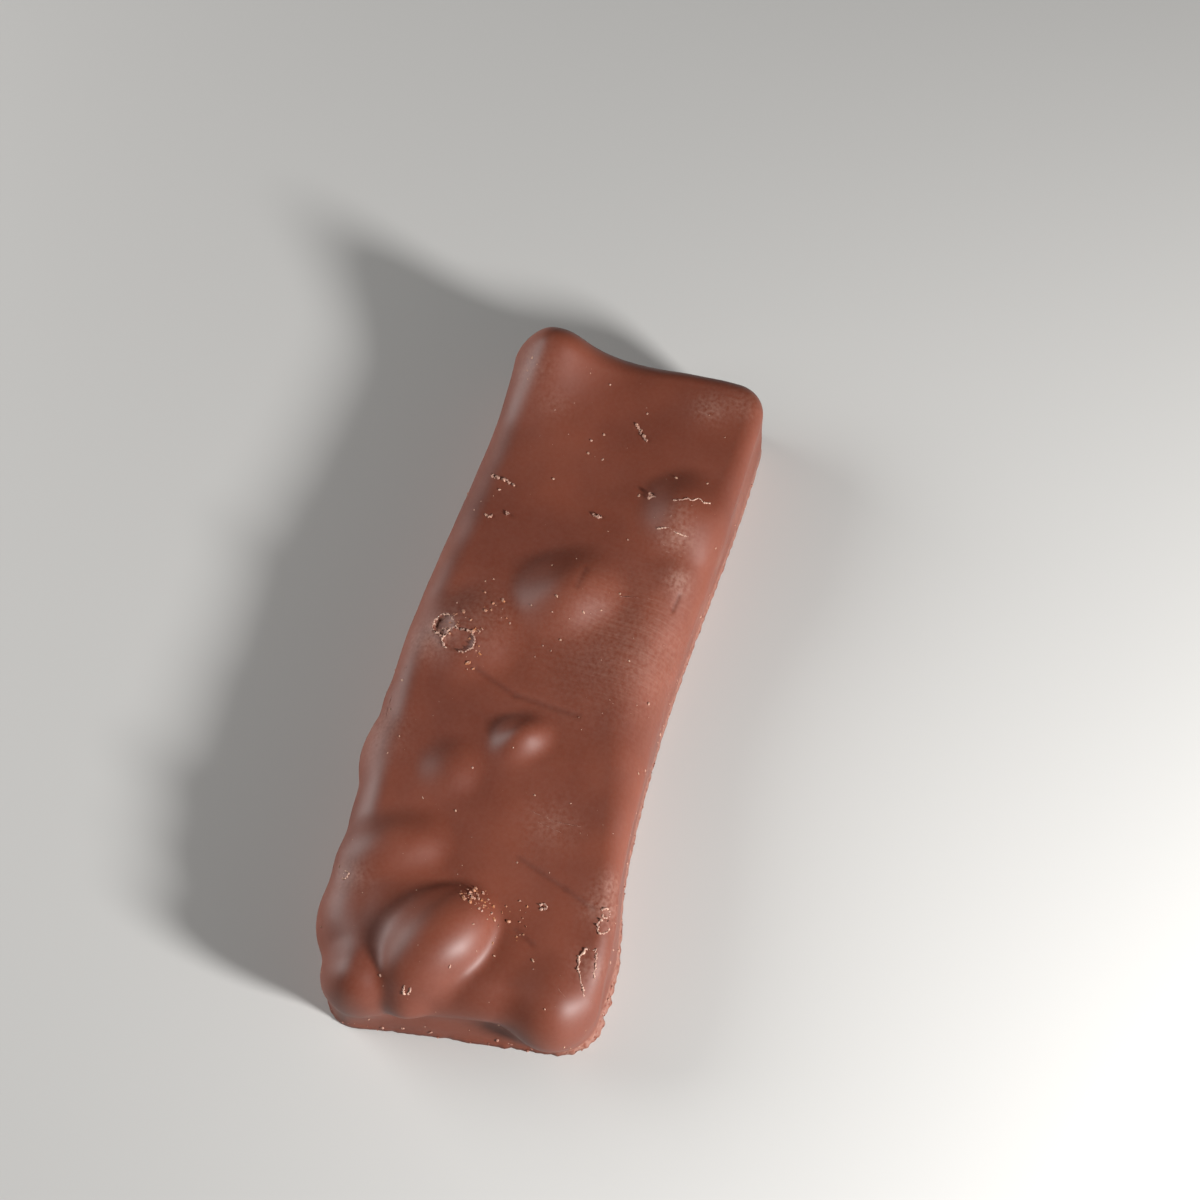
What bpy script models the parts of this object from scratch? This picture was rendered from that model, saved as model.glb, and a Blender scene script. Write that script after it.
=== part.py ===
"""Chocolate bar: whole nuts under a thick coat of milk chocolate, lying on its flat base.

The bar lies along X with its crowded, slanted end at -X, and +Z is up. The model is in metres, its
origin on the base under the middle of the bar's box. The bar is one solid. A signed depth function
states its form: a slab with rounded shoulders, bowed along its length, joined by soft fillets to an
ellipsoid for each nut. The vertices of a subdivided cube are pushed out until they meet that form.
"""

import math

import bmesh
import bpy
import numpy as np

NAME = "chocolate_bar"
MM = 0.001

# Driving dimensions, in millimetres. X is measured along the slab, Y across it.
THICKNESS = 13.5
HALF_WIDTH = 17.9
FAR_END = 51.0
NEAR_END = -46.9
NEAR_END_SLANT = 0.134
BOW_HEIGHT = 2.8
BOW_MIDDLE = -5.0
BOW_REACH = 52.0
CORNER_RADIUS = 4.5
BASE_EDGE_RADIUS = 0.8

# The shoulder between the top and the walls: tighter on the right, but wide there at mid-length,
# and wider all round at the near end.
LEFT_SHOULDER = 4.6
RIGHT_SHOULDER = 2.6
RIGHT_SHOULDER_EXTRA = 5.0
RIGHT_SHOULDER_MIDDLE = 6.0
RIGHT_SHOULDER_REACH = 17.0
NEAR_SHOULDER_EXTRA = 2.6
NEAR_SHOULDER_START = -36.0

# The low corner at the near end, on the right: how far it drops, where it is and how wide it is.
LOW_CORNER_DROP = 2.4
LOW_CORNER = (-47.0, -15.0)
LOW_CORNER_REACH = 9.0

# The top falls toward the far end, where the left corner was pulled up into a peak.
FAR_END_FALL = 0.7
FAR_FALL_LENGTH = 24.0
FAR_PEAK_RISE = 5.6
FAR_PEAK = (49.0, 12.4)
FAR_PEAK_REACH = (8.6, 6.2)

# The near end narrows on the left, and is tucked in below its rounded top. Each span is the share of
# the bar's length, from the far end, over which this sets in.
NEAR_LEFT_TAPER = 1.2
TAPER_SPAN = (0.92, 1.0)
NEAR_END_TUCK = 1.25
TUCK_HEIGHT = 5.0
TUCK_REACH = 3.0
TUCK_WIDTH = 15.0
TUCK_SPAN = (0.85, 0.96)

# The right wall swells out a little beside the crowded end.
RIGHT_SWELL = 0.9
RIGHT_SWELL_MIDDLE = -32.0
RIGHT_SWELL_REACH = 7.0

# Each nut: its middle, its half sizes, its turn about Z in degrees, and the width of the fillet
# where the coat runs off it.
NUTS = {
    "great": ((-38.9, 3.5, 10.4), (9.2, 6.2, 7.5), -32.0, 1.2),
    "bed": ((-36.2, 10.2, 8.2), (8.2, 6.8, 6.2), -25.0, 2.8),
    "broad": ((-28.6, 12.2, 9.0), (8.4, 5.8, 6.5), -57.0, 1.4),
    "left_plateau": ((-36.6, 15.9, 6.8), (5.6, 4.5, 6.1), 0.0, 2.4),
    "near_left_corner": ((-45.0, 12.2, 8.4), (4.2, 4.6, 5.7), 0.0, 2.0),
    "near_end_pip": ((-45.4, 6.0, 9.4), (2.8, 2.6, 3.0), 0.0, 1.8),
    "near_right_corner": ((-41.6, -11.8, 7.2), (5.8, 5.2, 6.2), 0.0, 2.8),
    "small": ((-9.8, 1.0, 10.6), (4.2, 3.0, 4.7), -45.0, 1.8),
    "faint": ((-16.4, 8.7, 9.7), (4.4, 4.0, 4.7), 0.0, 2.0),
    "left_edge": ((-14.6, 18.0, 7.4), (5.6, 3.7, 4.8), 0.0, 2.0),
    "left_edge_small": ((-7.4, 18.6, 7.0), (3.0, 2.3, 4.2), 0.0, 1.6),
    "blistered": ((3.2, 11.4, 9.4), (6.4, 6.6, 5.7), 0.0, 2.6),
    "middle": ((12.0, 0.8, 9.6), (7.8, 6.2, 6.2), -50.0, 2.2),
    "right_edge": ((27.6, -10.8, 9.4), (7.2, 5.6, 6.2), 0.0, 2.0),
}

# The mesh: the number of cells along, across and up, and how many of them turn each edge.
CELLS = (58, 22, 9)
EDGE_CELLS = 3
BASE_EDGE_CELLS = 1
EDGE_INSET = 4.6
PUSH_LIMIT = 14.0
HALVINGS = 26
SAME_PLACE = 1e-3

MILK_CHOCOLATE = (0.185, 0.049, 0.027, 1.0)
SATIN = 0.55


def clear_scene():
    for leftover in list(bpy.data.objects):
        bpy.data.objects.remove(leftover)


def fade(value, start, end):
    """Runs smoothly from 0 to 1 as the value goes from start to end."""
    share = np.clip((value - start) / (end - start), 0.0, 1.0)
    return share * share * (3.0 - 2.0 * share)


def bell(value, middle, reach):
    return np.exp(-(((value - middle) / reach) ** 2))


def bow(x):
    """How far the bar's middle line lies to the left at this place along it."""
    angle = np.clip((x - BOW_MIDDLE) / BOW_REACH, -1.0, 1.0) * math.pi / 2
    return BOW_HEIGHT * np.cos(angle) ** 2


def rounded_both(first, second, radius):
    """Depth below two surfaces at once, with their shared edge rounded to the radius."""
    inside = np.minimum(np.maximum(first, second), -radius)
    corner = np.hypot(np.maximum(first + radius, 0.0), np.maximum(second + radius, 0.0))
    return inside + corner


def joined(first, second, fillet):
    """Depth inside either of two forms, with a soft fillet where they meet."""
    near = np.maximum(fillet - np.abs(first - second), 0.0) / fillet
    return np.minimum(first, second) - near * near * fillet / 4


def outline_depth(x, y, z):
    """Depth inside the bar's outline: bowed, and slanted, narrowed and tucked in at the near end."""
    length = FAR_END - NEAR_END
    toward_near_end = np.clip((FAR_END - x) / length, 0.0, 1.2)
    along = x + NEAR_END_SLANT * y * toward_near_end ** 2
    across = y - bow(x)
    swell = RIGHT_SWELL * bell(x, RIGHT_SWELL_MIDDLE, RIGHT_SWELL_REACH)
    across = np.where(across < 0, across + swell * fade(-across, 0.0, HALF_WIDTH), across)
    taper = NEAR_LEFT_TAPER * fade(toward_near_end, *TAPER_SPAN)
    across = across + taper * fade(across, 0.0, HALF_WIDTH)
    middle = (FAR_END + NEAR_END) / 2
    depth = rounded_both(np.abs(along - middle) - length / 2, np.abs(across) - HALF_WIDTH, CORNER_RADIUS)
    tuck = NEAR_END_TUCK * bell(z, TUCK_HEIGHT, TUCK_REACH) * bell(y, 0.0, TUCK_WIDTH)
    return depth + tuck * fade(toward_near_end, *TUCK_SPAN)


def shoulder_radius(x, y):
    across = y - bow(x)
    right = RIGHT_SHOULDER + RIGHT_SHOULDER_EXTRA * bell(x, RIGHT_SHOULDER_MIDDLE, RIGHT_SHOULDER_REACH)
    both = right + (LEFT_SHOULDER - right) * fade(across, -HALF_WIDTH / 2, HALF_WIDTH / 2)
    return both + NEAR_SHOULDER_EXTRA * fade(x, NEAR_SHOULDER_START, NEAR_END)


def top_height(x, y):
    away = np.hypot(x - LOW_CORNER[0], y - LOW_CORNER[1]) / LOW_CORNER_REACH
    peak = bell(x, FAR_PEAK[0], FAR_PEAK_REACH[0]) * bell(y, FAR_PEAK[1], FAR_PEAK_REACH[1])
    fall = FAR_END_FALL * np.clip((x - FAR_END) / FAR_FALL_LENGTH + 1.0, 0.0, 1.5) ** 2
    return THICKNESS - LOW_CORNER_DROP * np.exp(-(away ** 2)) + FAR_PEAK_RISE * peak - fall


def nut_depth(x, y, z, middle, half_sizes, turn):
    angle = math.radians(turn)
    dx, dy, dz = x - middle[0], y - middle[1], z - middle[2]
    long = (dx * math.cos(angle) + dy * math.sin(angle)) / half_sizes[0]
    wide = (dy * math.cos(angle) - dx * math.sin(angle)) / half_sizes[1]
    tall = dz / half_sizes[2]
    reach = np.sqrt(long ** 2 + wide ** 2 + tall ** 2)
    slope = np.sqrt((long / half_sizes[0]) ** 2 + (wide / half_sizes[1]) ** 2 + (tall / half_sizes[2]) ** 2)
    return reach * (reach - 1.0) / np.maximum(slope, 1e-9)


def bar_depth(x, y, z):
    """Signed distance to the bar's surface, negative inside, in millimetres."""
    depth = rounded_both(outline_depth(x, y, z), z - top_height(x, y), shoulder_radius(x, y))
    for middle, half_sizes, turn, fillet in NUTS.values():
        depth = joined(depth, nut_depth(x, y, z, middle, half_sizes, turn), fillet)
    return rounded_both(depth, -z, BASE_EDGE_RADIUS)


def gridded_cube():
    """A cube whose sides are cut into the mesh's cells; it spans -1 to 1 on each axis."""
    cube = bmesh.new()
    bmesh.ops.create_cube(cube, size=2.0)
    for axis, count in enumerate(CELLS):
        along = [e for e in cube.edges if abs(e.verts[0].co[axis] - e.verts[1].co[axis]) > SAME_PLACE]
        bmesh.ops.subdivide_edges(cube, edges=along, cuts=count - 1, use_grid_fill=True)
    return cube


def edge_turn_and_travel(position, count, low_cells, high_cells):
    """Splits a cube position into its turn round the nearest edge and its travel between the edges."""
    index = (position + 1.0) / 2 * count
    turn = np.clip((index - (count - high_cells)) / high_cells, 0.0, 1.0)
    turn -= np.clip((low_cells - index) / low_cells, 0.0, 1.0)
    travel = np.clip((index - low_cells) / (count - low_cells - high_cells), 0.0, 1.0)
    return np.tan(turn * math.pi / 4), travel


def starts_and_directions(cube_points):
    """For each cube vertex, a point well inside the bar and the direction in which it is pushed."""
    turn_x, travel_x = edge_turn_and_travel(cube_points[:, 0], CELLS[0], EDGE_CELLS, EDGE_CELLS)
    turn_y, travel_y = edge_turn_and_travel(cube_points[:, 1], CELLS[1], EDGE_CELLS, EDGE_CELLS)
    turn_z, travel_z = edge_turn_and_travel(cube_points[:, 2], CELLS[2], BASE_EDGE_CELLS, EDGE_CELLS)
    directions = np.stack([turn_x, turn_y, turn_z], axis=1)
    directions /= np.linalg.norm(directions, axis=1, keepdims=True)

    # The starts stand on an outline inset by a whole edge, let out again toward the base.
    length = FAR_END - NEAR_END
    along = NEAR_END + EDGE_INSET + (length - 2 * EDGE_INSET) * travel_x
    across = (HALF_WIDTH - EDGE_INSET) * (2 * travel_y - 1)
    let_out = (EDGE_INSET - NEAR_END_TUCK - BASE_EDGE_RADIUS) * (1.0 - travel_z)
    level_turn = np.maximum(np.hypot(turn_x, turn_y), 1e-9)
    let_out *= np.maximum(np.abs(turn_x), np.abs(turn_y)) / level_turn
    along += let_out * turn_x
    across += let_out * turn_y
    y = across + bow(along)
    x = along - NEAR_END_SLANT * y * ((FAR_END - along) / length) ** 2
    z = BASE_EDGE_RADIUS + (THICKNESS - EDGE_INSET - BASE_EDGE_RADIUS) * travel_z
    return np.stack([x, y, z], axis=1), directions


def pushed_out(starts, directions):
    """Moves each start along its direction to the bar's surface, by repeated halving."""
    low = np.full(len(starts), -BASE_EDGE_RADIUS)
    high = np.full(len(starts), PUSH_LIMIT)
    for _ in range(HALVINGS):
        half = (low + high) / 2
        outside = bar_depth(*(starts + directions * half[:, None]).T) > 0
        high = np.where(outside, half, high)
        low = np.where(outside, low, half)
    return starts + directions * high[:, None]


def bar_mesh():
    cube = gridded_cube()
    cube_points = np.array([vertex.co[:] for vertex in cube.verts])
    points = pushed_out(*starts_and_directions(cube_points))
    middle = (points.min(axis=0) + points.max(axis=0)) / 2
    points -= (middle[0], middle[1], 0.0)
    on_base = cube_points[:, 2] < SAME_PLACE - 1.0
    points[on_base, 2] = np.maximum(points[on_base, 2], 0.0)
    for vertex, point in zip(cube.verts, points):
        vertex.co = [float(value) * MM for value in point]
    bmesh.ops.recalc_face_normals(cube, faces=cube.faces)
    mesh = bpy.data.meshes.new(NAME)
    cube.to_mesh(mesh)
    cube.free()
    mesh.shade_smooth()
    return mesh


def milk_chocolate():
    material = bpy.data.materials.new("milk_chocolate")
    material.use_nodes = True
    shader = material.node_tree.nodes["Principled BSDF"]
    shader.inputs["Base Color"].default_value = MILK_CHOCOLATE
    shader.inputs["Roughness"].default_value = SATIN
    shader.inputs["Metallic"].default_value = 0.0
    return material


clear_scene()
collection = bpy.data.collections.new(NAME)
bpy.context.scene.collection.children.link(collection)
bar = bpy.data.objects.new(NAME, bar_mesh())
bar.data.materials.append(milk_chocolate())
collection.objects.link(bar)
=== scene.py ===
import math

import bmesh
import bpy
import numpy as np
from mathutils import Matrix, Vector
from mathutils.bvhtree import BVHTree


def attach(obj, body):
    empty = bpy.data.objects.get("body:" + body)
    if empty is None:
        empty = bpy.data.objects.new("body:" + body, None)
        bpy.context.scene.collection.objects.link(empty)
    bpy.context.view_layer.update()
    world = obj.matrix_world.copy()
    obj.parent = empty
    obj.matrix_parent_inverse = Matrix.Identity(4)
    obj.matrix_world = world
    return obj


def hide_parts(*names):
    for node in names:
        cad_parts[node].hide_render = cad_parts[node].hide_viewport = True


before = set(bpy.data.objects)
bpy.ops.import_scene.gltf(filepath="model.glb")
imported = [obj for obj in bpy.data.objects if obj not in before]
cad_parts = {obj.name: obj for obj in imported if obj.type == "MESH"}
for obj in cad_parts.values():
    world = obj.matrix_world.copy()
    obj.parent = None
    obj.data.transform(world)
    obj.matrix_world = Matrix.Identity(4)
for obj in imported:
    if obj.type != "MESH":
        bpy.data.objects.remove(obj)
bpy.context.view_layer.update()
MM = 0.001

# ---------------------------------------------------------------------------------------------
# The bar: whole hazelnuts and a soft filling, run under a curtain of milk chocolate that set into
# one coat. The coat bulges over each nut, rounds the long edges and spreads a thin foot where it
# met the belt. All sizes are in millimetres, along (x), across (y) and up (z) the slab.
# ---------------------------------------------------------------------------------------------
THICKNESS = 13.5
HALF_WIDTH = 17.9
FAR_END = 51.0
NEAR_END = -46.9
NEAR_END_SLANT = 0.134
BOW_HEIGHT = 2.8
BOW_MIDDLE = -5.0
BOW_REACH = 52.0
CORNER_RADIUS = 4.5
BASE_EDGE_RADIUS = 0.25

LEFT_SHOULDER = 4.6
RIGHT_SHOULDER = 2.6
RIGHT_SHOULDER_EXTRA = 5.0
RIGHT_SHOULDER_MIDDLE = 6.0
RIGHT_SHOULDER_REACH = 17.0

NEAR_SHOULDER_EXTRA = 2.6
NEAR_SHOULDER_START = -36.0

LOW_CORNER_DROP = 2.4
LOW_CORNER = (-47.0, -15.0)
LOW_CORNER_REACH = 9.0
FAR_END_FALL = 0.7
FAR_FALL_LENGTH = 24.0
FAR_PEAK_RISE = 5.6
FAR_PEAK = (49.0, 12.4)
FAR_PEAK_REACH = (8.6, 6.2)

RIGHT_SWELL = 0.9
RIGHT_SWELL_MIDDLE = -32.0
RIGHT_SWELL_REACH = 7.0
NEAR_LEFT_TAPER = 1.2
TAPER_SPAN = (0.92, 1.0)

# Each nut: its middle, its half sizes, its turn about z in degrees, and the width of the fillet
# where the coat runs off it.
NUTS = {
    "great": ((-38.9, 3.5, 10.4), (9.2, 6.2, 7.5), -32.0, 1.2),
    "bed": ((-36.2, 10.2, 8.2), (8.2, 6.8, 6.2), -25.0, 2.8),
    "broad": ((-28.6, 12.2, 9.0), (8.4, 5.8, 6.5), -57.0, 1.4),
    "left_plateau": ((-36.6, 15.9, 6.8), (5.6, 4.5, 6.1), 0.0, 2.4),
    "near_left_corner": ((-45.0, 12.2, 8.4), (4.2, 4.6, 5.7), 0.0, 2.0),
    "near_end_pip": ((-45.4, 6.0, 9.4), (2.8, 2.6, 3.0), 0.0, 1.8),
    "near_right_corner": ((-41.6, -11.8, 7.2), (5.8, 5.2, 6.2), 0.0, 2.8),
    "small": ((-9.8, 1.0, 10.6), (4.2, 3.0, 4.7), -45.0, 1.8),
    "faint": ((-16.4, 8.7, 9.7), (4.4, 4.0, 4.7), 0.0, 2.0),
    "left_edge": ((-14.6, 18.0, 7.4), (5.6, 3.7, 4.8), 0.0, 2.0),
    "left_edge_small": ((-7.4, 18.6, 7.0), (3.0, 2.3, 4.2), 0.0, 1.6),
    "blistered": ((3.2, 11.4, 9.4), (6.4, 6.6, 5.7), 0.0, 2.6),
    "middle": ((12.0, 0.8, 9.6), (7.8, 6.2, 6.2), -50.0, 2.2),
    "right_edge": ((27.6, -10.8, 9.4), (7.2, 5.6, 6.2), 0.0, 2.0),
}

# The coat's own unevenness: the wavelength and depth of each gentle wave, and the heights over
# which the waves rise. The thin foot at the base has a ragged edge, widest at the near right.
COAT_WAVES = ((17.0, 0.16), (6.5, 0.045))
COAT_WAVE_SEED = 21
COAT_WAVE_RISE = (0.0, 4.0)
FOOT_HEIGHT = 1.3
FOOT_SPREAD = 0.35
FOOT_CURVE = 1.5
FOOT_RAGGEDNESS = 0.2
FOOT_RAG_LENGTH = 1.4
FOOT_RAG_SEED = 11
RIGHT_FOOT_EXTRA = 0.9
RIGHT_FOOT_MIDDLE = -38.0
RIGHT_FOOT_REACH = 9.0

# The near end is tucked in below its rounded top.
NEAR_END_TUCK = 1.25
TUCK_HEIGHT = 5.0
TUCK_REACH = 3.0
TUCK_WIDTH = 15.0
TUCK_SPAN = (0.85, 0.96)

# Blisters that burst in the coat: middle, half sizes and depth of each shallow floor.
CRATERS = (
    ((0.9, 12.7), (1.5, 2.1), 0.28),
    ((2.6, 15.3), (1.4, 1.3), 0.32),
    ((1.5, 15.1), (0.5, 0.5), 0.3),
)
# A crater's wall, its raised rim's place and width, and the rim's height as a share of the depth.
CRATER_WALL = (0.7, 1.05)
CRATER_RIM = (1.2, 0.2)
CRATER_RIM_SHARE = 0.4

# Creases drawn in the coat while it was soft: from, to, half width and depth.
CREASES = (
    ((-2.0, 9.4), (-4.2, 3.6), 0.4, 0.1),
    ((-4.2, 3.6), (-5.0, -5.1), 0.4, 0.12),
    ((-25.8, -3.1), (-28.3, -9.8), 0.35, 0.1),
    ((-28.3, -9.8), (-29.9, -13.8), 0.35, 0.07),
    ((-35.0, -5.3), (-36.3, -7.8), 0.35, 0.1),
    ((16.0, -13.4), (13.6, -13.1), 0.3, 0.12),
    ((15.2, -0.8), (12.0, -0.4), 0.4, 0.12),
)
# Craters and creases fade in between these heights, so the walls stay free of them.
MARKS_RISE = (9.0, 11.0)

# The mesh: cells along, across and up, and how many of them turn each edge.
CELLS = (286, 104, 42)
EDGE_CELLS = 18
BASE_EDGE_CELLS = 3
EDGE_INSET = 4.6
PUSH_LIMIT = 14.0
HALVINGS = 24


def fade(value, start, end):
    """Runs smoothly from 0 to 1 as the value goes from start to end."""
    share = np.clip((value - start) / (end - start), 0.0, 1.0)
    return share * share * (3.0 - 2.0 * share)


def bell(value, middle, reach):
    return np.exp(-(((value - middle) / reach) ** 2))


def waves(x, y, z, wavelength, seed, count=9):
    """Gentle waves crossing at chance angles, between about -1 and 1."""
    chance = np.random.default_rng(seed)
    total = 0.0
    for _ in range(count):
        heading = chance.normal(size=3)
        heading *= 2 * math.pi / wavelength / np.linalg.norm(heading) * chance.uniform(0.7, 1.4)
        phase = chance.uniform(0, 2 * math.pi)
        total = total + np.sin(heading[0] * x + heading[1] * y + heading[2] * z + phase)
    return total / math.sqrt(count)


def bow(x):
    """How far the bar's middle line lies to the left at this place along it."""
    angle = np.clip((x - BOW_MIDDLE) / BOW_REACH, -1.0, 1.0) * math.pi / 2
    return BOW_HEIGHT * np.cos(angle) ** 2


def rounded_both(first, second, radius):
    """Depth below two surfaces at once, with their shared edge rounded to the radius."""
    inside = np.minimum(np.maximum(first, second), -radius)
    corner = np.hypot(np.maximum(first + radius, 0.0), np.maximum(second + radius, 0.0))
    return inside + corner


def joined(first, second, fillet):
    """Depth inside either of two forms, with a soft fillet where they meet."""
    near = np.maximum(fillet - np.abs(first - second), 0.0) / fillet
    return np.minimum(first, second) - near * near * fillet / 4


def outline_depth(x, y, z):
    """Depth inside the bar's outline: bowed, slanted at the near end, spread out at the foot."""
    across = y - bow(x)
    length = FAR_END - NEAR_END
    toward_near_end = np.clip((FAR_END - x) / length, 0.0, 1.2)
    along = x + NEAR_END_SLANT * y * toward_near_end ** 2
    swell = RIGHT_SWELL * bell(x, RIGHT_SWELL_MIDDLE, RIGHT_SWELL_REACH)
    across = np.where(across < 0, across + swell * fade(-across, 0.0, HALF_WIDTH), across)
    taper = NEAR_LEFT_TAPER * fade(toward_near_end, *TAPER_SPAN)
    across = across + taper * fade(across, 0.0, HALF_WIDTH)
    middle = (FAR_END + NEAR_END) / 2
    past_end = np.abs(along - middle) - length / 2
    past_side = np.abs(across) - HALF_WIDTH
    depth = rounded_both(past_end, past_side, CORNER_RADIUS)

    low = 1.0 - np.clip(z / FOOT_HEIGHT, 0.0, 1.0)
    right_foot = RIGHT_FOOT_EXTRA * bell(x, RIGHT_FOOT_MIDDLE, RIGHT_FOOT_REACH) * (across < 0)
    rags = FOOT_RAGGEDNESS * waves(x, y, 0.0, FOOT_RAG_LENGTH, FOOT_RAG_SEED)
    ragged = 1.0 - FOOT_RAGGEDNESS + rags
    depth = depth - (FOOT_SPREAD + right_foot) * ragged * low ** FOOT_CURVE
    tuck = NEAR_END_TUCK * bell(z, TUCK_HEIGHT, TUCK_REACH) * bell(y, 0.0, TUCK_WIDTH)
    return depth + tuck * fade(toward_near_end, *TUCK_SPAN)


def shoulder_radius(x, y):
    """The radius of the top's edges, widest where the right shoulder slopes away."""
    across = y - bow(x)
    slope = bell(x, RIGHT_SHOULDER_MIDDLE, RIGHT_SHOULDER_REACH)
    right = RIGHT_SHOULDER + RIGHT_SHOULDER_EXTRA * slope
    both = right + (LEFT_SHOULDER - right) * fade(across, -HALF_WIDTH / 2, HALF_WIDTH / 2)
    return both + NEAR_SHOULDER_EXTRA * fade(x, NEAR_SHOULDER_START, NEAR_END)


def top_height(x, y):
    """The slab's top without its nuts: low at one near corner, drawn up at the far left."""
    away = np.hypot(x - LOW_CORNER[0], y - LOW_CORNER[1]) / LOW_CORNER_REACH
    peak = bell(x, FAR_PEAK[0], FAR_PEAK_REACH[0]) * bell(y, FAR_PEAK[1], FAR_PEAK_REACH[1])
    fall = FAR_END_FALL * np.clip((x - FAR_END) / FAR_FALL_LENGTH + 1.0, 0.0, 1.5) ** 2
    return THICKNESS - LOW_CORNER_DROP * np.exp(-(away ** 2)) + FAR_PEAK_RISE * peak - fall


def nut_depth(x, y, z, middle, half_sizes, turn):
    """Depth inside one nut, taken as an ellipsoid turned about z."""
    angle = math.radians(turn)
    dx, dy, dz = x - middle[0], y - middle[1], z - middle[2]
    long = (dx * math.cos(angle) + dy * math.sin(angle)) / half_sizes[0]
    wide = (dy * math.cos(angle) - dx * math.sin(angle)) / half_sizes[1]
    tall = dz / half_sizes[2]
    reach = np.sqrt(long ** 2 + wide ** 2 + tall ** 2)
    level_slope = (long / half_sizes[0]) ** 2 + (wide / half_sizes[1]) ** 2
    slope = np.sqrt(level_slope + (tall / half_sizes[2]) ** 2)
    return reach * (reach - 1.0) / np.maximum(slope, 1e-9)


def crease_strength(x, y, start, end, half_width):
    """1 along the crease's line, fading to 0 at its sides."""
    run = (end[0] - start[0], end[1] - start[1])
    travel = (x - start[0]) * run[0] + (y - start[1]) * run[1]
    share = np.clip(travel / (run[0] ** 2 + run[1] ** 2), 0.0, 1.0)
    away = np.hypot(x - start[0] - share * run[0], y - start[1] - share * run[1])
    return bell(away, 0.0, half_width)


def marks(x, y):
    """How far the craters and creases sink the coat's top."""
    sunk = 0.0
    for middle, half_sizes, depth in CRATERS:
        reach = np.hypot((x - middle[0]) / half_sizes[0], (y - middle[1]) / half_sizes[1])
        hollow = depth * (1.0 - fade(reach, *CRATER_WALL))
        sunk = sunk + hollow - CRATER_RIM_SHARE * depth * bell(reach, *CRATER_RIM)
    for start, end, half_width, depth in CREASES:
        sunk = sunk + depth * crease_strength(x, y, start, end, half_width)
    return sunk


def bar_depth(x, y, z):
    """Signed distance to the bar's surface, negative inside, in millimetres."""
    depth = rounded_both(outline_depth(x, y, z), z - top_height(x, y), shoulder_radius(x, y))
    for middle, half_sizes, turn, fillet in NUTS.values():
        depth = joined(depth, nut_depth(x, y, z, middle, half_sizes, turn), fillet)
    for number, (wavelength, amount) in enumerate(COAT_WAVES):
        wave = waves(x, y, z, wavelength, COAT_WAVE_SEED + number)
        depth = depth - amount * wave * fade(z, *COAT_WAVE_RISE)
    depth = depth + marks(x, y) * fade(z, *MARKS_RISE)
    return rounded_both(depth, -z, BASE_EDGE_RADIUS)


def gridded_cube():
    """A cube whose sides are cut into the mesh's cells; it spans -1 to 1 on each axis."""
    cube = bmesh.new()
    bmesh.ops.create_cube(cube, size=2.0)
    for axis, count in enumerate(CELLS):
        along = [e for e in cube.edges if abs(e.verts[0].co[axis] - e.verts[1].co[axis]) > 1e-3]
        bmesh.ops.subdivide_edges(cube, edges=along, cuts=count - 1, use_grid_fill=True)
    return cube


def edge_turn_and_travel(position, count, low_cells, high_cells):
    """Splits a cube position into its turn round an edge and its travel between the edges."""
    index = (position + 1.0) / 2 * count
    turn = np.clip((index - (count - high_cells)) / high_cells, 0.0, 1.0)
    turn -= np.clip((low_cells - index) / low_cells, 0.0, 1.0)
    travel = np.clip((index - low_cells) / (count - low_cells - high_cells), 0.0, 1.0)
    return np.tan(turn * math.pi / 4), travel


def starts_and_directions(cube_points):
    """For each cube vertex, a point well inside the bar and the direction in which it is pushed."""
    turn_x, travel_x = edge_turn_and_travel(cube_points[:, 0], CELLS[0], EDGE_CELLS, EDGE_CELLS)
    turn_y, travel_y = edge_turn_and_travel(cube_points[:, 1], CELLS[1], EDGE_CELLS, EDGE_CELLS)
    turn_z, travel_z = edge_turn_and_travel(cube_points[:, 2], CELLS[2], BASE_EDGE_CELLS, EDGE_CELLS)
    directions = np.stack([turn_x, turn_y, turn_z], axis=1)
    directions /= np.linalg.norm(directions, axis=1, keepdims=True)

    # The starts stand on an outline inset by a whole edge, let out again toward the base.
    length = FAR_END - NEAR_END
    along = NEAR_END + EDGE_INSET + (length - 2 * EDGE_INSET) * travel_x
    across = (HALF_WIDTH - EDGE_INSET) * (2 * travel_y - 1)
    let_out = (EDGE_INSET - NEAR_END_TUCK - BASE_EDGE_RADIUS) * (1.0 - travel_z)
    level_turn = np.maximum(np.hypot(turn_x, turn_y), 1e-9)
    let_out *= np.maximum(np.abs(turn_x), np.abs(turn_y)) / level_turn
    along += let_out * turn_x
    across += let_out * turn_y
    y = across + bow(along)
    x = along - NEAR_END_SLANT * y * ((FAR_END - along) / length) ** 2
    z = BASE_EDGE_RADIUS + (THICKNESS - EDGE_INSET - BASE_EDGE_RADIUS) * travel_z
    return np.stack([x, y, z], axis=1), directions


def pushed_out(starts, directions):
    """Moves each start along its direction to the bar's surface, by repeated halving."""
    low = np.full(len(starts), -BASE_EDGE_RADIUS)
    high = np.full(len(starts), PUSH_LIMIT)
    for _ in range(HALVINGS):
        half = (low + high) / 2
        outside = bar_depth(*(starts + directions * half[:, None]).T) > 0
        high = np.where(outside, half, high)
        low = np.where(outside, low, half)
    return starts + directions * high[:, None]


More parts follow.
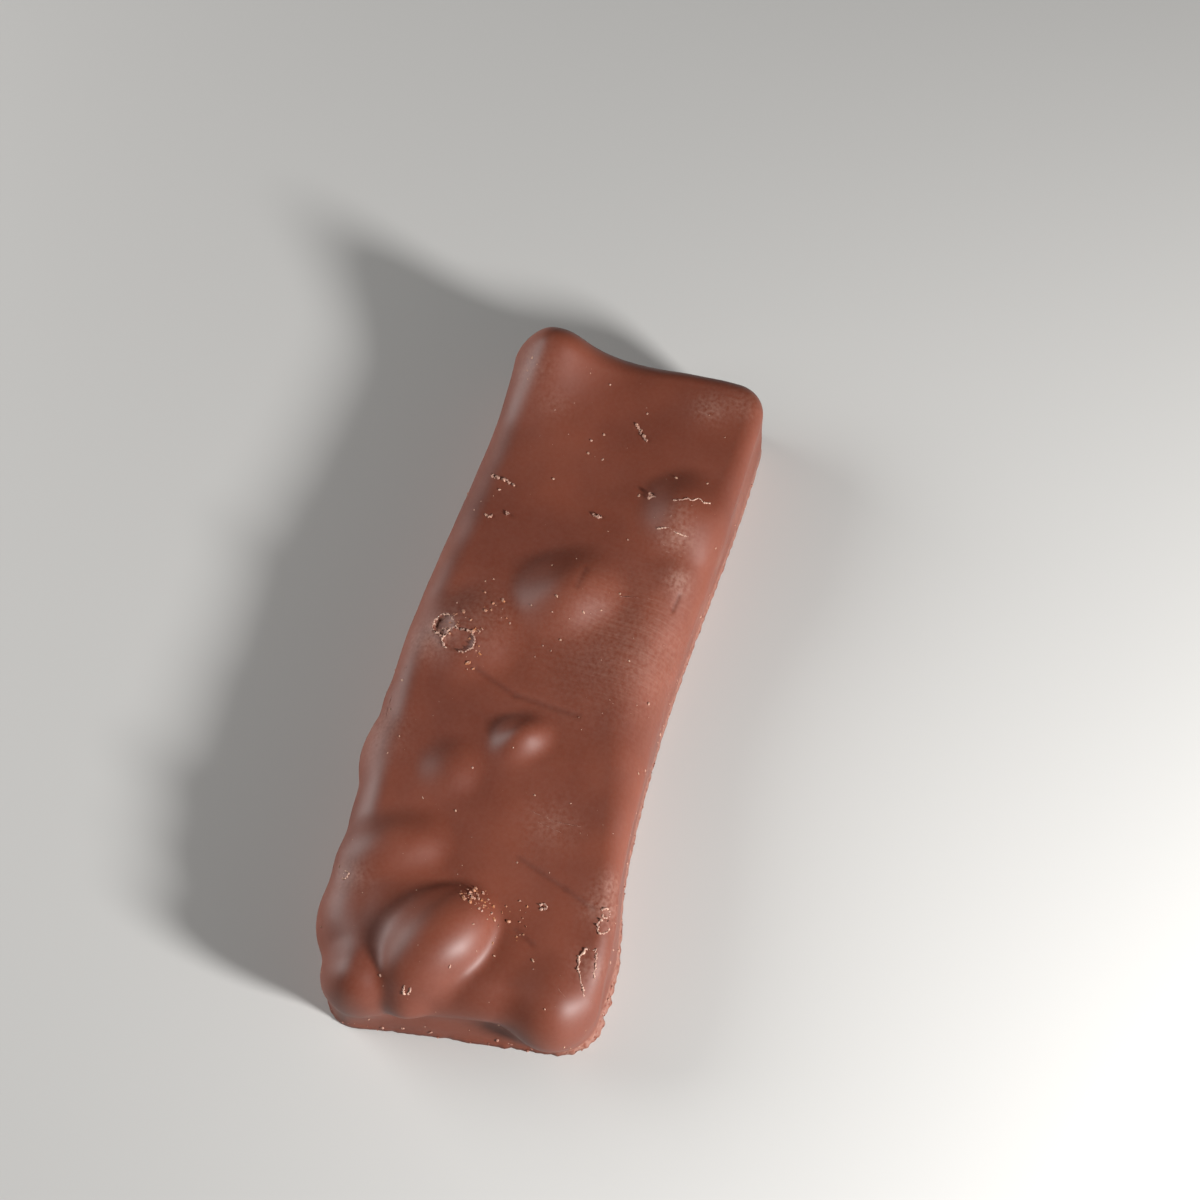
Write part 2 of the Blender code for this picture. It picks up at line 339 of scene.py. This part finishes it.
cube = gridded_cube()
cube_points = np.array([vertex.co[:] for vertex in cube.verts])
bar_points = pushed_out(*starts_and_directions(cube_points))
box_middle = (bar_points.min(axis=0) + bar_points.max(axis=0)) / 2
box_middle[2] = bar_points[:, 2].min()
for vertex, point in zip(cube.verts, bar_points):
    vertex.co = [float(value) * MM for value in point - box_middle]
bmesh.ops.recalc_face_normals(cube, faces=cube.faces)
bar_mesh = bpy.data.meshes.new("coated_bar")
cube.to_mesh(bar_mesh)
cube.free()
bar_mesh.shade_smooth()
bar = bpy.data.objects.new("coated_bar", bar_mesh)
bpy.context.scene.collection.objects.link(bar)

CHOCOLATE_DEEP = (0.158, 0.038, 0.020, 1.0)
CHOCOLATE_WARM = (0.205, 0.052, 0.027, 1.0)
# Painted shade: a darker brown laid along the creases, where shade falls in the grooves.
PAINTED_CREASE_SHADE = (0.085, 0.020, 0.012, 1.0)
BLOOM = (0.40, 0.215, 0.165, 1.0)

# Pale patches where the coat has bloomed or was rubbed: place, reach and strength.
BLOOM_PATCHES = (
    ((45.0, -10.5, 13.0), 2.2, 0.6),
    ((46.5, -14.5, 12.0), 2.0, 0.5),
    ((44.0, 14.5, 15.0), 2.6, 0.5),
    ((39.5, 10.5, 13.5), 2.0, 0.3),
    ((17.8, -12.8, 13.0), 1.6, 0.9),
    ((23.4, -11.0, 14.6), 2.2, 0.7),
    ((26.8, -10.6, 15.2), 1.5, 0.4),
    ((0.6, 16.6, 13.4), 2.6, 0.8),
    ((2.6, 15.3, 14.2), 1.6, 0.7),
    ((5.0, 11.0, 14.5), 4.5, 0.3),
    ((-20.5, -6.0, 13.5), 3.0, 0.3),
    ((-29.5, -15.2, 13.0), 2.2, 0.7),
    ((-26.0, -15.2, 13.0), 1.6, 0.5),
    ((-33.5, 16.6, 13.0), 2.4, 0.5),
    ((-13.5, 19.5, 11.0), 3.6, 0.5),
    ((6.0, -9.0, 13.0), 9.0, 0.25),
    ((34.5, -17.4, 5.0), 2.4, 0.35),
    ((24.8, -17.4, 8.6), 1.8, 0.45),
    ((19.1, -17.0, 4.0), 2.4, 0.35),
    ((-36.8, -15.4, 12.4), 2.0, 0.4),
)
# The brushed lines' place and reach. The right wall is rubbed pale at its foot: how far to the
# right the wall begins and is full, and the heights between which the rubbing ends.
BRUSHED = ((7.0, -10.0, 13.0), 10.0)
RUBBED_WALL = (12.0, 16.0)
RUBBED_FOOT = (0.6, 2.4)

# How strongly each mark shows in the coat, and the grain of its patterns in waves per metre.
TONE_SCALE = 70.0
# The share of painted shade laid along the creases.
PAINTED_SHADE_STRENGTH = 0.4
CLOUD_SCALE = 1900.0
BLOOM_TRACE = 0.06
BLOOM_LIMIT = 0.5
BLOOM_ROUGHNESS = 0.25
BRUSH_ANGLE = -0.45
BRUSH_SCALE = (3200.0, 120.0, 400.0)
BRUSH_STRENGTH = 0.14
BRUSH_RELIEF = 0.4
GLOSS_SCALE = 110.0
ROUGHNESS = (0.44, 0.57)
RIPPLE_SCALE = 260.0
RELIEF_STRENGTH = 0.35
RELIEF_DEPTH = 0.00006
SPECULAR_LEVEL = 0.5
SUBSURFACE_WEIGHT = 0.06
SUBSURFACE_DEPTH = 0.0015


def patch(points, middle, reach):
    """A soft round patch: 1 at its middle, fading out over its reach."""
    return np.exp(-((points - np.array(middle)) ** 2).sum(axis=1) / reach ** 2)


def patches(points, spots):
    """The summed patches of a list that gives each one's middle, reach and strength."""
    return sum(strength * patch(points, middle, reach) for middle, reach, strength in spots)


def add_share(mesh, name, values):
    """Stores one value for each vertex under a name that materials and node trees can read."""
    mesh.attributes.new(name, "FLOAT", "POINT").data.foreach_set("value", values.astype(np.float32))


bloom = patches(bar_points, BLOOM_PATCHES)
along_bar, across_bar, height = bar_points.T
bloom += fade(-across_bar, *RUBBED_WALL) * (1.0 - fade(height, *RUBBED_FOOT))
add_share(bar_mesh, "bloom", bloom)
on_top = fade(height, *MARKS_RISE)
# The creases' lines on the top, kept as a mask for the painted shade in the creases.
creased = sum(crease_strength(along_bar, across_bar, *crease[:3]) for crease in CREASES)
add_share(bar_mesh, "creased", np.clip(creased, 0.0, 1.0) * on_top)
add_share(bar_mesh, "brushed", patch(bar_points, *BRUSHED))


def add_node(tree, kind, inputs, **settings):
    """Adds a node with its settings, and links or fills its inputs."""
    node = tree.nodes.new(kind)
    for setting, value in settings.items():
        setattr(node, setting, value)
    for socket, value in inputs.items():
        if isinstance(value, bpy.types.NodeSocket):
            tree.links.new(value, node.inputs[socket])
        else:
            node.inputs[socket].default_value = value
    return node


class NodeBoard:
    """Adds shader nodes to a material and links them as they are added."""

    def __init__(self, material):
        material.use_nodes = True
        self.tree = material.node_tree
        self.shader = self.tree.nodes["Principled BSDF"]
        self.place = self.add("ShaderNodeTexCoord", {}, "Object")

    def add(self, kind, inputs, output=0, **settings):
        return add_node(self.tree, kind, inputs, **settings).outputs[output]

    def feed(self, socket, value):
        self.tree.links.new(value, self.shader.inputs[socket])

    def noise(self, scale, detail=2.0, place=None):
        inputs = {"Vector": place or self.place, "Scale": scale, "Detail": detail}
        return self.add("ShaderNodeTexNoise", inputs)

    def ramp(self, value, low, high, to_low=0.0, to_high=1.0):
        inputs = {"Value": value, "From Min": low, "From Max": high}
        inputs.update({"To Min": to_low, "To Max": to_high})
        return self.add("ShaderNodeMapRange", inputs)

    def mix(self, share, first, second):
        return self.add("ShaderNodeMix", {0: share, 6: first, 7: second}, 2, data_type="RGBA")

    def math(self, operation, first, second):
        return self.add("ShaderNodeMath", {0: first, 1: second}, operation=operation)

    def attribute(self, name):
        return self.add("ShaderNodeAttribute", {}, "Fac", attribute_name=name)

    def turned(self, angle, stretch):
        inputs = {"Vector": self.place, "Rotation": (0.0, 0.0, angle), "Scale": stretch}
        return self.add("ShaderNodeMapping", inputs)


def milk_chocolate():
    """The coat's finish: two close browns, painted crease shade, cloudy bloom and fine brushed
    lines.
    """
    material = bpy.data.materials.new("milk_chocolate")
    board = NodeBoard(material)
    tone = board.ramp(board.noise(TONE_SCALE, 3.0), 0.35, 0.65)
    colour = board.mix(tone, CHOCOLATE_DEEP, CHOCOLATE_WARM)
    # Painted shade: the creases are darkened in the colour, where shade falls in them.
    crease_shade_share = board.math("MULTIPLY", board.attribute("creased"), PAINTED_SHADE_STRENGTH)
    colour = board.mix(crease_shade_share, colour, PAINTED_CREASE_SHADE)

    # Bloom lies in torn, cloudy patches; a trace of it is everywhere.
    cloud = board.ramp(board.noise(CLOUD_SCALE, 4.0), 0.3, 0.8)
    bloom_everywhere = board.math("ADD", board.attribute("bloom"), BLOOM_TRACE)
    bloom_share = board.math("MULTIPLY", bloom_everywhere, cloud)
    colour = board.mix(board.math("MINIMUM", bloom_share, BLOOM_LIMIT), colour, BLOOM)

    # Fine brushed lines cross the wide right shoulder.
    lines = board.noise(1.0, 3.0, board.turned(BRUSH_ANGLE, BRUSH_SCALE))
    lines = board.ramp(lines, 0.45, 0.7)
    lines_share = board.math("MULTIPLY", lines, board.attribute("brushed"))
    colour = board.mix(board.math("MULTIPLY", lines_share, BRUSH_STRENGTH), colour, BLOOM)
    board.feed("Base Color", colour)

    gloss = board.ramp(board.noise(GLOSS_SCALE, 3.0), 0.3, 0.7, *ROUGHNESS)
    rough = board.math("ADD", gloss, board.math("MULTIPLY", bloom_share, BLOOM_ROUGHNESS))
    board.feed("Roughness", rough)

    ripples = board.noise(RIPPLE_SCALE, 2.0)
    height = board.math("ADD", ripples, board.math("MULTIPLY", lines_share, BRUSH_RELIEF))
    relief = {"Height": height, "Strength": RELIEF_STRENGTH, "Distance": RELIEF_DEPTH}
    board.feed("Normal", board.add("ShaderNodeBump", relief))
    board.shader.inputs["Specular IOR Level"].default_value = SPECULAR_LEVEL
    board.shader.inputs["Subsurface Weight"].default_value = SUBSURFACE_WEIGHT
    board.shader.inputs["Subsurface Scale"].default_value = SUBSURFACE_DEPTH
    return material


bar_mesh.materials.append(milk_chocolate())
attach(bar, "root")
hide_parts("chocolate_bar")

# ---------------------------------------------------------------------------------------------
# Loose bits on the coat: pale specks of cocoa butter and sugar a fraction of a millimetre across,
# toasted nut crumbs stuck to the great nut's tip, and crumbs of coat broken off along the foot.
# ---------------------------------------------------------------------------------------------
SPECK = (0.48, 0.27, 0.18, 1.0)
TOASTED = (0.46, 0.17, 0.065, 1.0)
FOOT_CRUMB = (0.44, 0.24, 0.18, 1.0)
CRAG_SCALE = 4500.0

# Specks lie where the coat shows from above, thickest on the bloom. Foot crumbs lie in a low band,
# thickest along the widest stretch of the foot.
SEEN_FROM_ABOVE = (1.0, 3.0)
SPECKS_EVERYWHERE = 0.5
SPECKS_ON_BLOOM = 0.9
FOOT_BAND_BOTTOM = (0.02, 0.3)
FOOT_BAND_TOP = (0.5, 1.6)
FOOT_CRUMBS_EVERYWHERE = 0.35


def grown_piece(name, bed, tree, values):
    """Grows a piece over the bed's mesh with the node tree, and keeps it as one plain mesh."""
    holder = bpy.data.objects.new(name + "_bed", bed)
    bpy.context.scene.collection.objects.link(holder)
    modifier = holder.modifiers.new("grown", "NODES")
    modifier.node_group = tree
    for socket in tree.interface.items_tree:
        if socket.name in values:
            modifier[socket.identifier] = values[socket.name]
    grown = holder.evaluated_get(bpy.context.evaluated_depsgraph_get())
    mesh = bpy.data.meshes.new_from_object(grown)
    holder.modifiers.remove(modifier)
    bpy.data.objects.remove(holder)
    piece = bpy.data.objects.new(name, mesh)
    bpy.context.scene.collection.objects.link(piece)
    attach(piece, "root")


def chance_size(tree, seed, power, least, most):
    """A size drawn by chance between two limits; a higher power makes small ones commoner."""
    chance = add_node(tree, "FunctionNodeRandomValue", {"Seed": seed}, data_type="FLOAT")
    skewed = add_node(tree, "ShaderNodeMath", {0: chance.outputs[1], 1: power}, operation="POWER")
    limits = {"Value": skewed.outputs[0], "To Min": least, "To Max": most}
    return add_node(tree, "ShaderNodeMapRange", limits)


def pushed_about(tree, geometry, scale, detail, amount):
    """Moves a geometry's points about by a noise, up to half the amount each way."""
    noise = add_node(tree, "ShaderNodeTexNoise", {"Scale": scale, "Detail": detail})
    halves = {0: noise.outputs["Color"], 1: (0.5, 0.5, 0.5)}
    centred = add_node(tree, "ShaderNodeVectorMath", halves, operation="SUBTRACT")
    sized = {0: centred.outputs[0], "Scale": amount}
    push = add_node(tree, "ShaderNodeVectorMath", sized, operation="SCALE")
    offset = {"Geometry": geometry, "Offset": push.outputs[0]}
    return add_node(tree, "GeometryNodeSetPosition", offset)


def finish_tree(tree, geometry, finish):
    """Gives a tree's geometry its material and leads it to the tree's output."""
    coloured = {"Geometry": geometry, "Material": finish}
    finished = add_node(tree, "GeometryNodeSetMaterial", coloured)
    output = tree.nodes.new("NodeGroupOutput")
    tree.links.new(finished.outputs[0], output.inputs[0])


def grain_tree():
    """A node tree that scatters small rough grains over a surface where its share is high."""
    tree = bpy.data.node_groups.new("grains", "GeometryNodeTree")
    tree.interface.new_socket("Surface", in_out="INPUT", socket_type="NodeSocketGeometry")
    for label in ("Per Square Metre", "Smallest", "Largest", "Ruggedness"):
        tree.interface.new_socket(label, in_out="INPUT", socket_type="NodeSocketFloat")
    tree.interface.new_socket("Share", in_out="INPUT", socket_type="NodeSocketString")
    tree.interface.new_socket("Seed", in_out="INPUT", socket_type="NodeSocketInt")
    tree.interface.new_socket("Finish", in_out="INPUT", socket_type="NodeSocketMaterial")
    tree.interface.new_socket("Grains", in_out="OUTPUT", socket_type="NodeSocketGeometry")
    given = tree.nodes.new("NodeGroupInput").outputs

    def add(kind, inputs, **settings):
        return add_node(tree, kind, inputs, **settings)

    share = add("GeometryNodeInputNamedAttribute", {"Name": given["Share"]}, data_type="FLOAT")
    density = add(
        "ShaderNodeMath",
        {0: given["Per Square Metre"], 1: share.outputs["Attribute"]},
        operation="MULTIPLY",
    )
    spots = add(
        "GeometryNodeDistributePointsOnFaces",
        {"Mesh": given["Surface"], "Density": density.outputs[0], "Seed": given["Seed"]},
    )
    grain = add("GeometryNodeMeshIcoSphere", {"Radius": 1.0, "Subdivisions": 2})
    size = chance_size(tree, given["Seed"], 2.5, given["Smallest"], given["Largest"])
    squash = add(
        "FunctionNodeRandomValue",
        {0: (0.7, 0.6, 0.35), 1: (1.5, 1.0, 0.8), "Seed": given["Seed"]},
        data_type="FLOAT_VECTOR",
    )
    scale = add(
        "ShaderNodeVectorMath",
        {0: squash.outputs[0], "Scale": size.outputs[0]},
        operation="SCALE",
    )
    spin = add(
        "FunctionNodeRandomValue",
        {0: (0.0, 0.0, 0.0), 1: (0.5, 0.5, 2 * math.pi), "Seed": given["Seed"]},
        data_type="FLOAT_VECTOR",
    )
    turn = add("FunctionNodeEulerToRotation", {"Euler": spin.outputs[0]})
    stance = add(
        "FunctionNodeRotateRotation",
        {"Rotation": spots.outputs["Rotation"], "Rotate By": turn.outputs[0]},
        rotation_space="LOCAL",
    )
    placed = add(
        "GeometryNodeInstanceOnPoints",
        {
            "Points": spots.outputs["Points"],
            "Instance": grain.outputs["Mesh"],
            "Rotation": stance.outputs[0],
            "Scale": scale.outputs[0],
        },
    )
    solid = add("GeometryNodeRealizeInstances", {"Geometry": placed.outputs[0]})
    rugged = pushed_about(tree, solid.outputs[0], CRAG_SCALE, 1.0, given["Ruggedness"])
    finish_tree(tree, rugged.outputs[0], given["Finish"])
    return tree


def grain_finish(name, base, dark):
    """A dull finish for grains and crusts, mottled between two colours."""
    material = bpy.data.materials.new(name)
    board = NodeBoard(material)
    shade = board.ramp(board.noise(1500.0, 2.0), 0.35, 0.65)
    board.feed("Base Color", board.mix(shade, dark, base))
    board.feed("Roughness", board.ramp(board.noise(900.0, 2.0), 0.3, 0.7, 0.45, 0.75))
    return material


grains = grain_tree()


def strew(name, share, per_square_metre, smallest, largest, seed, finish):
    """Strews grains, sized in millimetres, over the bar's coat and keeps them as one plain mesh."""
    add_share(bar_mesh, name, share)
    values = {"Per Square Metre": per_square_metre, "Share": name, "Seed": seed, "Finish": finish}
    values.update({"Smallest": smallest * MM, "Largest": largest * MM})
    values["Ruggedness"] = largest * MM
    grown_piece(name, bar_mesh, grains, values)


strew(
    "cocoa_butter_specks",
    fade(height, *SEEN_FROM_ABOVE) * (SPECKS_EVERYWHERE + SPECKS_ON_BLOOM * bloom),
    per_square_metre=90000.0,
    smallest=0.04,
    largest=0.22,
    seed=3,
    finish=grain_finish("cocoa_butter", SPECK, FOOT_CRUMB),
)

# Toasted crumbs gather round the great nut's tip and on the blistered lump: place, reach, strength.
TOASTED_SPOTS = (
    ((-33.2, 0.6, 15.4), 1.5, 1.0),
    ((-33.6, -1.6, 14.6), 1.2, 0.5),
    ((-34.4, -4.6, 13.3), 2.0, 0.16),
    ((2.4, 11.0, 15.0), 0.8, 1.0),
    ((3.2, 13.6, 15.0), 1.1, 0.6),
    ((7.6, 9.4, 14.0), 1.7, 0.3),
    ((-0.3, 10.4, 14.4), 1.2, 0.6),
)
strew(
    "toasted_crumbs",
    patches(bar_points, TOASTED_SPOTS) * on_top,
    per_square_metre=5.5e6,
    smallest=0.06,
    largest=0.3,
    seed=5,
    finish=grain_finish("toasted_crumb", TOASTED, FOOT_CRUMB),
)

foot_band = (1.0 - fade(height, *FOOT_BAND_TOP)) * fade(height, *FOOT_BAND_BOTTOM)
widest_foot = bell(along_bar, RIGHT_FOOT_MIDDLE, 2 * RIGHT_FOOT_REACH)
strew(
    "foot_crumbs",
    foot_band * (FOOT_CRUMBS_EVERYWHERE + widest_foot),
    per_square_metre=9.0e5,
    smallest=0.07,
    largest=0.3,
    seed=7,
    finish=grain_finish("foot_crumb", FOOT_CRUMB, CHOCOLATE_WARM),
)

# ---------------------------------------------------------------------------------------------
# Crusts: where bubbles burst or the coat was nicked, a thin rough rim of pale chocolate stands up.
# There are rims round the craters and small rings, an edge round the chip at the near right
# corner, a scalloped lip on the right lump, curled shavings and fine scratches.
# ---------------------------------------------------------------------------------------------
CRUST = (0.66, 0.42, 0.32, 1.0)
SHAVING = (0.62, 0.34, 0.24, 1.0)
RING_POINTS = 30
RAY_HEIGHT = 28.0
DRIFT_SCALE = 1800.0
ROD_SIDES = 6
ROD_STEP = 0.09


def ring(middle, half_sizes, start=0.0, end=360.0):
    """Places round an ellipse, from one angle to the other in degrees."""
    angles = np.radians(np.linspace(start, end, RING_POINTS))
    return [
        (middle[0] + half_sizes[0] * math.cos(angle), middle[1] + half_sizes[1] * math.sin(angle))
        for angle in angles
    ]


BLISTER_RIMS = (
    ring((0.9, 12.7), (1.6, 2.2), -170.0, 150.0),
    ring((2.6, 15.3), (1.5, 1.4), -60.0, 170.0),
    ring((1.5, 15.1), (0.6, 0.6)),
    ring((-31.3, -7.9), (0.42, 0.42)),
    ring((-30.0, -15.7), (0.6, 0.5)),
    ring((-31.8, -15.7), (1.0, 0.7), 30.0, 330.0),
    ring((-33.7, 17.4), (0.5, 0.45)),
    ring((-46.2, 5.4), (0.4, 0.35), 40.0, 300.0),
    [(-35.9, -15.9), (-34.9, -15.6), (-35.1, -14.5), (-36.3, -13.9)]
    + [(-38.0, -14.2), (-39.9, -15.2), (-40.8, -15.9)],
    [(-35.2, -15.9), (-36.7, -16.1), (-38.2, -16.2)],
)
SCALLOPED_LIPS = (
    [(28.3, -9.5), (28.6, -10.7), (29.1, -11.3), (29.0, -12.0)]
    + [(29.7, -12.6), (29.3, -13.4), (29.8, -14.2)],
    [(24.0, -8.3), (24.3, -9.8), (23.8, -11.2), (23.9, -12.6)],
)
SHAVINGS = (
    [(40.1, -1.0), (39.4, -1.5), (38.9, -2.2), (38.4, -2.4), (37.8, -3.3)],
    [(27.1, 15.8), (26.6, 14.7), (26.3, 13.4), (25.9, 12.2)],
    [(29.2, -5.7), (29.1, -6.2), (28.8, -6.7), (28.6, -6.1), (29.0, -5.7)],
    [(20.6, 14.9), (20.2, 14.3), (20.7, 13.9)],
    [(21.7, 12.2), (21.4, 11.8)],
    [(24.3, 0.8), (24.0, 0.2), (24.2, -0.4)],
)
SCRATCHES = (
    [(-41.0, -12.5), (-41.4, -12.9), (-41.8, -13.7)],
    [(-10.9, 19.2), (-9.4, 19.4), (-8.0, 19.3)],
    [(22.9, -9.2), (22.7, -11.0), (22.5, -12.6)],
    [(22.1, -9.6), (21.9, -11.4), (21.8, -12.8)],
    [(21.3, -10.2), (21.2, -12.4)],
    [(13.0, -6.0), (13.6, -8.2), (14.0, -10.4)],
    [(-19.4, -3.0), (-20.0, -6.2), (-19.8, -9.6)],
    [(-20.6, -4.2), (-21.2, -7.4)],
)

coat = BVHTree.FromObject(bar, bpy.context.evaluated_depsgraph_get())


def on_coat(x, y):
    """The point of the coat straight below a place given in slab millimetres."""
    above = Vector(((x - box_middle[0]) * MM, (y - box_middle[1]) * MM, RAY_HEIGHT * MM))
    return coat.ray_cast(above, Vector((0.0, 0.0, -1.0)))[0]


def crust_tree():
    """A node tree that turns lines into rough rods whose thickness and path wander."""
    tree = bpy.data.node_groups.new("crusts", "GeometryNodeTree")
    tree.interface.new_socket("Lines", in_out="INPUT", socket_type="NodeSocketGeometry")
    for label in ("Grain", "Thinnest", "Thickest", "Wander"):
        tree.interface.new_socket(label, in_out="INPUT", socket_type="NodeSocketFloat")
    tree.interface.new_socket("Seed", in_out="INPUT", socket_type="NodeSocketInt")
    tree.interface.new_socket("Finish", in_out="INPUT", socket_type="NodeSocketMaterial")
    tree.interface.new_socket("Crusts", in_out="OUTPUT", socket_type="NodeSocketGeometry")
    given = tree.nodes.new("NodeGroupInput").outputs

    def add(kind, inputs, **settings):
        return add_node(tree, kind, inputs, **settings)

    curve = add("GeometryNodeMeshToCurve", {"Mesh": given["Lines"]})
    fine = add(
        "GeometryNodeResampleCurve",
        {"Curve": curve.outputs[0], "Length": given["Grain"]},
        mode="LENGTH",
    )
    moved = pushed_about(tree, fine.outputs[0], DRIFT_SCALE, 2.0, given["Wander"])
    width = chance_size(tree, given["Seed"], 2.0, given["Thinnest"], given["Thickest"])
    section = add("GeometryNodeCurvePrimitiveCircle", {"Resolution": ROD_SIDES, "Radius": 1.0})
    rods = add(
        "GeometryNodeCurveToMesh",
        {
            "Curve": moved.outputs[0],
            "Profile Curve": section.outputs[0],
            "Scale": width.outputs[0],
            "Fill Caps": True,
        },
    )
    solid = add("GeometryNodeRealizeInstances", {"Geometry": rods.outputs[0]})
    finish_tree(tree, solid.outputs[0], given["Finish"])
    return tree


crusts = crust_tree()


def crust(name, lines, thinnest, thickest, wander, seed, finish):
    """Lays rough rods, sized in millimetres, along lines on the coat and keeps them as one mesh."""
    mesh = bpy.data.meshes.new(name + "_lines")
    points, edges = [], []
    for line in lines:
        edges += [(len(points) + step, len(points) + step + 1) for step in range(len(line) - 1)]
        points += [on_coat(*place) for place in line]
    mesh.from_pydata(points, edges, [])
    values = {"Grain": ROD_STEP * MM, "Wander": wander * MM, "Seed": seed, "Finish": finish}
    values.update({"Thinnest": thinnest * MM, "Thickest": thickest * MM})
    grown_piece(name, mesh, crusts, values)


crust(
    "crust_rims",
    BLISTER_RIMS,
    thinnest=0.03,
    thickest=0.24,
    wander=0.8,
    seed=2,
    finish=grain_finish("pale_crust", CRUST, BLOOM),
)
crust(
    "scalloped_lips",
    SCALLOPED_LIPS,
    thinnest=0.05,
    thickest=0.2,
    wander=0.5,
    seed=4,
    finish=grain_finish("lip_crust", CRUST, BLOOM),
)
crust(
    "shavings",
    SHAVINGS,
    thinnest=0.08,
    thickest=0.36,
    wander=1.0,
    seed=6,
    finish=grain_finish("shaving", SHAVING, BLOOM),
)
crust(
    "scratches",
    SCRATCHES,
    thinnest=0.015,
    thickest=0.05,
    wander=0.1,
    seed=8,
    finish=grain_finish("scratched_coat", BLOOM, CHOCOLATE_WARM),
)

# ---------------------------------------------------------------------------------------------
# The studio: a plain pale floor, one soft key lamp low on the right, a broad fill on the left and
# an even white surround.
# ---------------------------------------------------------------------------------------------
FLOOR_SIZE = 4.0
FLOOR_COLOUR = (0.60, 0.59, 0.57, 1.0)
FLOOR_ROUGHNESS = 0.7
SURROUND_STRENGTH = 0.03
CAMERA_PLACE = (-0.1302, -0.0432, 0.3003)
CAMERA_VIEW = (0.4384, 0.1181, -0.8910)
CAMERA_LENS = 72.6

floor_mesh = bpy.data.meshes.new("floor")
shape = bmesh.new()
bmesh.ops.create_grid(shape, x_segments=1, y_segments=1, size=FLOOR_SIZE / 2)
shape.to_mesh(floor_mesh)
shape.free()
floor = bpy.data.objects.new("floor", floor_mesh)
bpy.context.scene.collection.objects.link(floor)
floor_material = bpy.data.materials.new("pale_floor")
floor_material.use_nodes = True
floor_shader = floor_material.node_tree.nodes["Principled BSDF"]
floor_shader.inputs["Base Color"].default_value = FLOOR_COLOUR
floor_shader.inputs["Roughness"].default_value = FLOOR_ROUGHNESS
floor_mesh.materials.append(floor_material)


def soft_lamp(name, place, size, power):
    """A round white lamp that faces the bar."""
    lamp = bpy.data.lights.new(name, "AREA")
    lamp.shape = "DISK"
    lamp.size = size
    lamp.energy = power
    holder = bpy.data.objects.new(name, lamp)
    holder.location = place
    holder.rotation_euler = (-Vector(place)).to_track_quat("-Z", "Y").to_euler()
    bpy.context.scene.collection.objects.link(holder)


soft_lamp("key", place=(-0.108, -0.285, 0.145), size=0.06, power=1.9)
soft_lamp("fill", place=(0.03, 0.41, 0.17), size=0.36, power=1.75)

world = bpy.data.worlds.new("surround")
bpy.context.scene.world = world
world.use_nodes = True
background = world.node_tree.nodes["Background"]
background.inputs["Color"].default_value = (1.0, 1.0, 1.0, 1.0)
background.inputs["Strength"].default_value = SURROUND_STRENGTH

# The camera looks down on the bar from beside its crowded end.
camera = bpy.data.objects.new("camera", bpy.data.cameras.new("camera"))
camera.location = CAMERA_PLACE
camera.rotation_euler = Vector(CAMERA_VIEW).to_track_quat("-Z", "Y").to_euler()
camera.data.sensor_width = 36.0
camera.data.lens = CAMERA_LENS
bpy.context.scene.collection.objects.link(camera)
bpy.context.scene.camera = camera
bpy.context.scene.view_settings.view_transform = "Standard"
